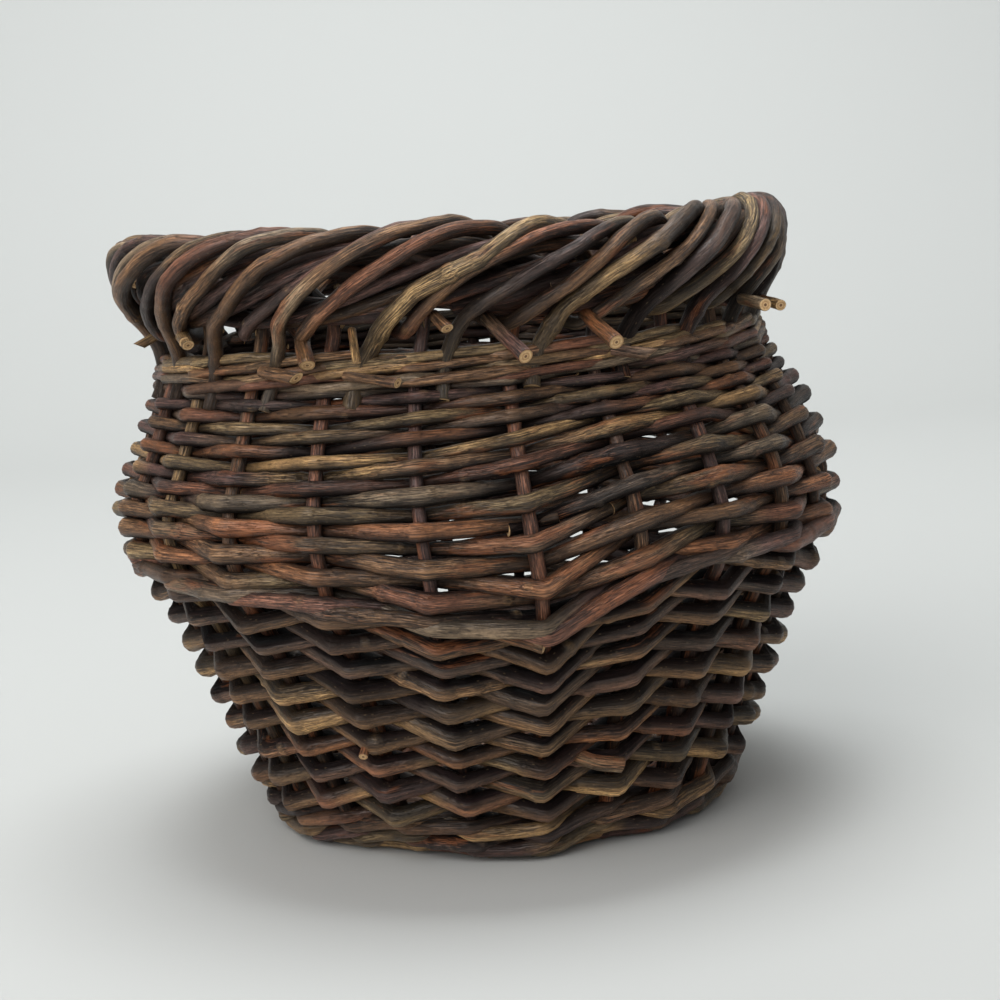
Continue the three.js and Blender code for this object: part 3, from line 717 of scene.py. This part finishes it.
# -------------------------------------------------------------------- wales
def wale(name, nodes, levels, radius, front, seed, table, lift, wander=0.35, floor=None, bare=0.1, painted_light_facing=("wall", 20)):
    """Rods in long strokes: each goes in front of `front` stakes and behind one, and climbs as it goes."""
    period = front + 1
    for j, s0 in enumerate(levels):
        for k in range(period):
            rs = np.random.RandomState(seed + 31 * j + 7 * k)
            n = 24 * 20
            first = period * rs.randint(0, 24 // period) - k
            x = np.linspace(-0.2, 24.25, n) + first + k     # in stake spaces
            th = STAKE0 + (x - k) * 15 * DEG
            ph = (x % period) / period                      # 0..1 over one stroke, behind the stake at 0
            w = np.clip(-np.cos(ph * TAU) * 1.7 + (0.7 if front > 1 else 0), -1, 1)
            w = np.convolve(np.pad(w, 4, mode="edge"), np.ones(9) / 9, "valid")
            saw = np.where(ph < 0.16, -ph / 0.32, np.where(ph > 0.84, (1 - ph) / 0.32, (ph - 0.5) / 0.68))
            Ln = np.linspace(0, 640, n)
            rad = np.linspace(radius * 1.1, radius * 0.86, n)
            off = w * (1.95 + rad) + 0.2 * Noise(seed + 2 + k + 9 * j, 660, 25)(Ln)
            # painted shade: where a rod runs behind a stake its colour is darkened
            shade = np.interp(w, [-0.9, 0.0, 0.6], [0.2, 0.4, 0.68])
            s = s0 + saw * lift + wander * Noise(seed + 5 + k + 9 * j, 660, 45)(Ln) + (np.linspace(0, 1, n) - 0.5) * 0.6
            r, z, nr, nz = wall_at(s)
            rr, zz = r + nr * off, z + nz * off
            p = chords(x, np.arange(math.ceil(x[0]), math.floor(x[-1]) + 1.0), warp(np.stack([rr * np.cos(th), rr * np.sin(th), zz], 1)))
            if floor is not None:                           # the lowest rods rest on the floor
                lo = rad * 1.1 + floor
                th = np.arctan2(p[:, 1], p[:, 0])
                lifted = around(_FOOT, th / DEG) * np.exp(-np.maximum(p[:, 2], 0) / 14)
                p += np.stack([-0.6 * lifted * np.cos(th), -0.6 * lifted * np.sin(th), 0.6 * lifted], 1)
                d = p[:, 2] - lo
                p[:, 2] = lo + np.where(d > 1.5, d, 1.5 * np.exp(np.minimum(d - 1.5, 0) / 1.5))
            rods = Rods()
            # painted light: faces turned along the crest direction get a painted highlight, the rest painted shade
            rods.add(p, rad, pick(rs, table), seed + 31 * j + 7 * k + 3, blend=pick(rs, table), knots=0.025, bare=bare,
                     painted_light_facing=painted_light_facing, shade=shade)
            rods.build(f"{name}_{j + 1}{'abcd'[k]}", nodes)


wale("upsett_rod", ["upsett_wale"], [float(s_at(0.8)), float(s_at(5.8)), float(s_at(11.0))], 2.4, 2, 5200,
     FOOT, 6.5, wander=0.6, floor=0.3, painted_light_facing=("wall", 30))
wale("belly_rod", ["upper_siding"], [BELLY_S - 0.2], 2.45, 2, 5400, BELLY, 3.0, bare=0.2,
     painted_light_facing=("wall", -5))
wale("top_wale_rod", ["top_wale"], [float(s_at(137.2)), float(s_at(140.2)), float(s_at(142.8))], 1.42, 2, 5600, WALE, 3.6,
     wander=1.3, painted_light_facing=("wall", 0))

# ------------------------------------------------------------------- border
wrap_a, wrap_b = BORDER_A - 2.6, BORDER_B - 2.6
border_z = HEIGHT - BORDER_B
_ph = np.linspace(0, TAU, 721)
_arc = np.concatenate([[0], np.cumsum(np.hypot(np.diff(wrap_a * np.sin(_ph)), np.diff(-wrap_b * np.cos(_ph))))])
_arc /= _arc[-1]


def border_phi(t):
    """Angle round the border's section, from its underside, for a wrap that is t done."""
    return np.floor(t) * TAU + np.interp(t % 1.0, _arc, _ph) - math.pi / 2


def border_section(phi, grow=0.0, puff=1.0):
    """(r, z) on the border's section: fuller and squarer above, narrow below."""
    cph, sph = np.cos(phi), np.sin(phi)
    sq = 1 / (np.abs(cph) ** 2.5 + np.abs(sph) ** 2.5) ** (1 / 2.5)
    sq = 1 + (sq - 1) * np.clip(sph + 0.3, 0, 1)
    r = BORDER_R + (wrap_a + grow) * cph * puff * (1 + 0.17 * sph) * sq
    z = border_z + (wrap_b + grow) * sph * sq * (0.985 + 0.015 * puff)
    return r, z


def border_lead(turns, power, outer):
    """Degrees round the rim: steep where a rod leaves the underside, flatter as it comes over the top."""
    whole, t = np.floor(turns), turns % 1.0
    up = outer * np.clip(t / 0.5, 0, 1) ** power
    down = (52.5 - outer) * np.clip((t - 0.5) / 0.5, 0, 1) ** 0.9
    return whole * 52.5 + up + down


for i in range(STAKES):
    rs = np.random.RandomState(3000 + 19 * i)
    jog = rs.uniform(-1.7, 1.7)
    th0 = 7.5 + 15 * i + 4.6 + 1.5 + jog
    turns = np.linspace(0.09, 1.92, 300)
    lead = border_lead(turns, rs.uniform(1.22, 1.6), rs.uniform(29, 35))
    th = (th0 + lead + 1.6 * Noise(3100 + i, 2, 0.45)(turns)) * DEG
    puff = 1 + 0.07 * Noise(3200 + i, 2, 0.3)(turns)
    # the second wrap lies a little deeper in places
    r, z = border_section(border_phi(turns), rs.uniform(-0.4, 0.4) - 0.5 * np.clip(turns - 0.9, 0, 1), puff)
    body = np.stack([r * np.cos(th), r * np.sin(th), z], 1)
    ta = (7.5 + 15 * i + 4.6) * DEG
    tail = np.array([[mid_r(zz) * math.cos(ta + l), mid_r(zz) * math.sin(ta + l), zz]
                     for zz, l in zip(np.linspace(132, 143, 8), np.linspace(-0.006, 0.006, 8))])
    pts = warp(np.concatenate([tail, body]))
    # round off the join
    for _ in range(10):
        pts[1:-1] = (pts[:-2] + 2 * pts[1:-1] + pts[2:]) / 4
    rad0 = rs.uniform(1.85, 2.5)
    rad = np.linspace(rad0, rad0 * rs.uniform(0.74, 0.9), len(pts))
    rods = Rods()
    # painted light: faces turned out from the border's middle get a painted highlight, the sunken sides painted shade
    rods.add(pts, rad, pick(rs, BORDER), 3300 + 23 * i, sides=16, blend=pick(rs, BORDER), knots=0.03, kink=1.15,
             bare=0.14, slant=(0, rs.uniform(-0.7, 0.7)), painted_light_facing=("border", 0), wear_and_painted_light=1.15,
             shade=np.full(len(pts), 0.74))
    rods.build(f"border_rod_{i + 1:02d}_wrap", [f"border_rod_{i + 1:02d}"])

# the rods inside the border, laid at a flatter slope
for k in range(24):
    rs = np.random.RandomState(6100 + k)
    n = 300
    t = np.linspace(0, 1, n)
    arc = rs.uniform(150, 260) * DEG
    a0 = TAU * k / 24
    phi = a0 * 5 + rs.uniform(-0.3, 0.3) + t * arc * rs.uniform(3.2, 4.2)
    th = a0 + t * arc
    deep = rs.uniform(-6.4, -3.9) + 0.5 * Noise(6150 + k, 1.1, 0.2)(t)
    r, z = border_section(phi, deep)
    pts = warp(np.stack([r * np.cos(th), r * np.sin(th), z], 1))
    rods = Rods()
    # painted shade: these rods lie deep inside the border, so their colour is halved; their outer faces also get the
    # painted highlight and shade
    rods.add(pts, np.linspace(2.5, 1.8, n) * rs.uniform(0.85, 1.1), pick(rs, CORE), 6200 + 7 * k, step=1.3,
             blend=pick(rs, CORE), knots=0.02, bare=0.3, shade=np.full(n, 0.5), painted_light_facing=("border", 0), wear_and_painted_light=0.9)
    rods.build(f"border_core_rod_{k + 1:02d}", ["border_core"])

# ------------------------------------------------------------- trimmed ends
# (name, node, points from inside the weave to the cut face in mm, radius, slant of the cut)
ENDS = [
    ("butt_1", "border_core", [(5.3, -85.8, 152.1), (9.7, -94.4, 147.6), (14.2, -103.0, 143.0)], 1.95, 0.0),
    ("butt_2", "border_core", [(30.6, -80.3, 151.6), (34.1, -88.6, 148.1), (37.5, -96.9, 144.5)], 1.95, 0.1),
    ("butt_3", "border_core", [(-43.5, -74.2, 150.3), (-42.5, -81.5, 146.7), (-41.4, -88.8, 143.2)], 2.15, 0.5),
    ("butt_4", "border_core", [(-29.5, -82.9, 151.2), (-28.9, -87.8, 147.3), (-28.4, -92.7, 143.4)], 1.1, 0.6),
    ("butt_5", "top_wale", [(-54.5, -74.1, 141.3), (-49.5, -81.8, 140.7), (-44.4, -89.5, 140.1)], 1.7, 0.9),
    ("butt_6", "top_wale", [(-32.0, -87.3, 139.6), (-25.1, -92.5, 138.8), (-18.2, -97.8, 138.0)], 1.35, 0.3),
    ("butt_7", "top_wale", [(37.2, -85.2, 141.6), (42.3, -86.4, 140.8), (47.3, -87.5, 140.1)], 1.5, 0.8),
    ("butt_19", "border_core", [(-8.0, -89.6, 153.8), (-6.4, -95.3, 152.5), (-4.8, -100.9, 151.2)], 1.6, 0.8),
    ("butt_20", "border_core", [(-82.1, -31.6, 151.5), (-78.9, -47.0, 150.6), (-75.6, -62.3, 149.8)], 1.5, 0.3),
    ("butt_8", "border_core", [(-79, -44, 158), (-77.6, -55, 152), (-75.0, -62.6, 149)], 1.7, 0.4),
    ("butt_9", "border_core", [(-80, -22, 157), (-86, -24, 151), (-93.6, -26.4, 147.4)], 1.3, 0.7),
    ("butt_10", "border_core", [(76.7, -47.0, 150.1), (78.7, -55.1, 149.6), (80.6, -63.2, 149.1)], 1.65, 0.05),
    ("butt_11", "border_core", [(83.8, -26.8, 148.9), (85.4, -38.6, 148.3), (86.9, -50.4, 147.7)], 1.45, 0.3),
    ("butt_12", "lower_siding", [(21, -73, 31), (27.5, -77.2, 29.4), (34.0, -76.2, 28.4)], 2.1, 0.2),
    ("butt_13", "lower_siding", [(-32, -69, 43), (-34.6, -75.5, 39), (-35.6, -79.8, 36.6)], 1.3, 0.2),
    ("butt_14", "border_core", [(60, 62, 158), (66, 68, 151), (71, 73.5, 145)], 2.1, 0.1),
    ("butt_15", "border_core", [(-20, 85, 158), (-26, 89.5, 151), (-32, 93, 145)], 2.2, 0.3),
    ("butt_16", "border_core", [(-74, 42, 158), (-79, 46, 151), (-85, 49.5, 145.5)], 2.0, 0.2),
]
for k, (name, target, pts, rad, sl) in enumerate(ENDS):
    rs = np.random.RandomState(7100 + k)
    pts = np.array(pts, float)
    d = np.concatenate([[0], np.cumsum(np.linalg.norm(np.diff(pts, axis=0), axis=1))])
    u = np.linspace(0, d[-1], 24)
    path = np.stack([np.interp(u, d, pts[:, j]) for j in range(3)], 1)
    for _ in range(8):
        path[1:-1] = (path[:-2] + 2 * path[1:-1] + path[2:]) / 4
    rods = Rods()
    rods.add(path, np.linspace(rad * 0.96, rad * 1.04, len(path)), pick(rs, [(UMBER, 3), (TAN, 2), (OLIVE, 2)]),
             7200 + 5 * k, sides=16, step=0.8, blend=pick(rs, UPPER), knots=0.0, kink=0.1, bare=0.4, slant=(0, sl))
    rods.build(f"trimmed_{name}", [target])

# --------------------------------------------------------------------- base
BASE_Z, BASE_R, BASE_HOLE_R = 8.0, 60.6, 21.0


def stick_line(k, across):
    """A base stick through the cross, opened out into two spokes."""
    side = k - 1
    off = (10.2 if across else 5.2) * side
    angle = 30 * side * DEG
    bend = 15 if across else 17
    pts = []
    for sgn in (-1, 1):
        inn = np.array([sgn * bend, off, BASE_Z])
        out = np.array([sgn * (BASE_R + 0.6) * math.cos(angle), (BASE_R + 0.6) * math.sin(angle), BASE_Z])
        mid = inn + (out - inn) * 0.42
        mid[1] += 0.04 * off
        seq = [out, mid, inn] if sgn < 0 else [inn, mid, out]
        pts += seq
    pts = np.array(pts)
    if not across:
        pts[:, [0, 1]] = pts[:, [1, 0]]
    d = np.concatenate([[0], np.cumsum(np.linalg.norm(np.diff(pts, axis=0), axis=1))])
    u = np.linspace(0, d[-1], 160)
    path = np.stack([np.interp(u, d, pts[:, j]) for j in range(3)], 1)
    for _ in range(30):
        path[1:-1] = (path[:-2] + 2 * path[1:-1] + path[2:]) / 4
    return path


number = 0
for across in (True, False):
    for k in range(3):
        number += 1
        rs = np.random.RandomState(8000 + number)
        path = stick_line(k, across)
        along = path[:, 0] if across else path[:, 1]
        rods = Rods()
        if across:
            # split down the middle: an upper and a lower half pass over and under the other three
            for half in (-1, 1):
                q = path.copy()
                gapz = 3.3 * np.clip((14.5 - np.abs(along)) / 5, 0, 1)
                q[:, 2] += half * (gapz + 0.9)
                rad = np.interp(np.abs(along), [0, 14, 24, 62], [1.7, 1.75, 1.6, 1.4])
                rods.add(warp(q), rad, pick(rs, STAKE), 8100 + 10 * number + half, sides=14, blend=UMBER, knots=0.02,
                         kink=0.08, bare=0.35)
        else:
            rad = np.interp(np.abs(along), [0, 20, 62], [2.35, 2.3, 2.15])
            rods.add(warp(path), rad, pick(rs, STAKE), 8100 + 10 * number, sides=14, blend=UMBER, knots=0.02,
                     kink=0.08, bare=0.35)
        rods.build(f"base_stick_{number}_rod", [f"base_stick_{number}"])

# the rounds that tie the cross: a pair, each over one bundle of sticks and under the next
for parity in (0, 1):
    rs = np.random.RandomState(8260 + parity)
    th = np.linspace(0.3, 0.3 + 1.75 * TAU, 700) + parity * math.pi / 2
    r = np.linspace(15.6, 20.8, 700) + 0.5 * np.cos(4 * th + math.pi)
    w = (1 if parity == 0 else -1) * sat(1.9 * np.cos(2 * th))
    path = warp(np.stack([r * np.cos(th), r * np.sin(th), BASE_Z + w * 3.5], 1))
    rods = Rods()
    rods.add(path, np.linspace(1.2, 1.35, 700), pick(rs, LOWER), 8270 + 11 * parity, step=1.0, blend=pick(rs, UPPER),
             knots=0.02, kink=0.1)
    rods.build(f"base_tie_{'ab'[parity]}", ["base_weave"])

# base weavers: a chasing pair, over and under the twelve spokes
for parity in (0, 1):
    t, k = 0.0, 0
    rs = np.random.RandomState(8300 + parity)
    turns_total = 6.4
    while t < turns_total - 0.2:
        t1 = min(t + rs.uniform(1.1, 1.9), turns_total)
        n = int((t1 - t) * 500) + 4
        turns = np.linspace(t, t1, n)
        th = turns * TAU + 0.6 * parity
        r = BASE_HOLE_R + 1.4 + (turns + 0.5 * parity) * (BASE_R - BASE_HOLE_R - 3.0) / (turns_total + 0.5)
        w = (1 if parity == 0 else -1) * sat(1.7 * np.cos(6 * th))
        rad = 1.45
        z = BASE_Z + w * (2.1 + rad * 0.75)
        path = warp(np.stack([r * np.cos(th), r * np.sin(th), z], 1))
        rods = Rods()
        rods.add(path, np.linspace(rad * 1.1, rad * 0.85, n), pick(rs, LOWER), 8400 + 11 * k + 500 * parity, step=1.2,
                 blend=pick(rs, UPPER), knots=0.02, kink=0.12)
        rods.build(f"base_weaver_{'ab'[parity]}{k + 1}", ["base_weave"])
        t, k = t1 - 0.03, k + 1

# ------------------------------------------------------------------- stage
def stage_material(name, colour, rough):
    m = bpy.data.materials.new(name)
    m.use_nodes = True
    b = m.node_tree.nodes["Principled BSDF"]
    b.inputs["Base Color"].default_value = (*colour, 1)
    b.inputs["Roughness"].default_value = rough
    return m


def make_stage():
    me = bpy.data.meshes.new("floor")
    n, w = 24, 3.0
    pts, faces = [], []
    prof = [(-3.0, 0.0), (0.9, 0.0)]
    for k in range(1, n + 1):
        a = k / n * math.pi / 2
        prof.append((0.9 + 0.6 * math.sin(a), 0.6 - 0.6 * math.cos(a)))
    prof.append((1.5, 3.5))
    for y, z in prof:
        pts += [(-w, y, z), (w, y, z)]
    for k in range(len(prof) - 1):
        a = 2 * k
        faces.append((a, a + 1, a + 3, a + 2))
    me.from_pydata(pts, [], faces)
    for p in me.polygons:
        p.use_smooth = True
    me.materials.append(stage_material("floor", (0.46, 0.46, 0.442), 0.7))
    o = bpy.data.objects.new("floor", me)
    bpy.context.scene.collection.objects.link(o)


make_stage()


def area(name, loc, target, size, power, colour=(1, 1, 1)):
    d = bpy.data.lights.new(name, "AREA")
    d.shape, d.size, d.energy, d.color = "DISK", size, power, colour
    o = bpy.data.objects.new(name, d)
    o.location = loc
    o.rotation_euler = (Vector(target) - Vector(loc)).to_track_quat("-Z", "Y").to_euler()
    bpy.context.scene.collection.objects.link(o)


area("key", (-0.58, -0.76, 1.15), (0, 0, 0.06), 1.1, 7.4)
area("fill", (-0.46, -1.22, 0.85), (0, 0, 0.03), 1.2, 9.2)
area("side", (-0.95, -0.75, 0.45), (-0.02, -0.06, 0.0), 0.7, 2.6)
area("top", (0.0, 0.1, 1.6), (0, 0.05, 0.1), 1.4, 2.2)
area("backdrop", (0.0, 0.3, 1.9), (0, 1.4, 0.5), 1.2, 39, (0.93, 0.975, 1.0))
bpy.context.scene.view_settings.view_transform = "Standard"
world = bpy.data.worlds.new("world")
bpy.context.scene.world = world
world.use_nodes = True
bg = world.node_tree.nodes["Background"]
bg.inputs[0].default_value = (0.93, 0.96, 1.0, 1)
bg.inputs[1].default_value = 0.38
